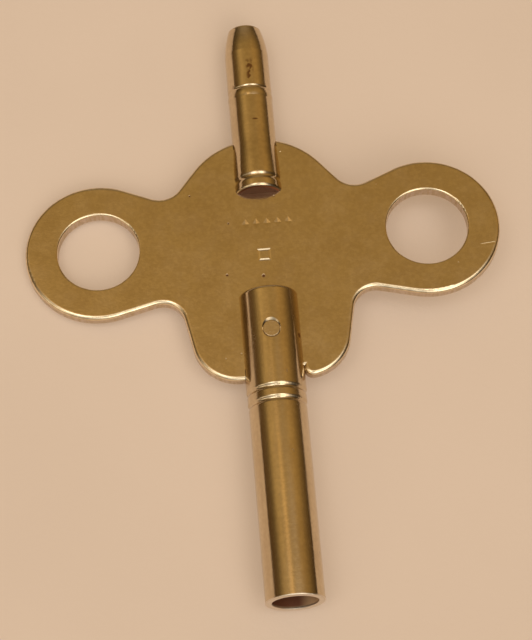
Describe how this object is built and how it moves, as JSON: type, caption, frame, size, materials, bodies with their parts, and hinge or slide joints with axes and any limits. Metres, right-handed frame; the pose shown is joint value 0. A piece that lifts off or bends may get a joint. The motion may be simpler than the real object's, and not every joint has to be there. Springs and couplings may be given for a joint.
{
  "type": "winding key",
  "caption": "Double-ended winding key: a flat wing plate with finger holes, a large square-socket barrel along one side and a small square-socket barrel along the other.",
  "frame": {"origin": "centre of the large barrel's mouth, on the axis that both barrels share", "axes": "+Y runs along the barrels from the large mouth to the small tip, X runs across the wings, and +Z is normal to the plate, out of its marked front face"},
  "size_m": [0.053, 0.0686, 0.0066],
  "materials": {
    "wing_plating": "satin yellowed nickel plating over brass, worn at the edges, fine grain",
    "large_barrel_plating": "polished yellowed nickel plating over turned brass, lightly tarnished",
    "small_barrel_plating": "polished yellowed nickel plating over turned brass, tarnish specks",
    "pin_plating": "satin yellowed nickel plating over a filed brass pin"
  },
  "bodies": {
    "root": {"wing_plate": "wing_plating", "large_barrel": "large_barrel_plating", "small_barrel": "small_barrel_plating", "cross_pin": "pin_plating"}
  },
  "joints": []
}
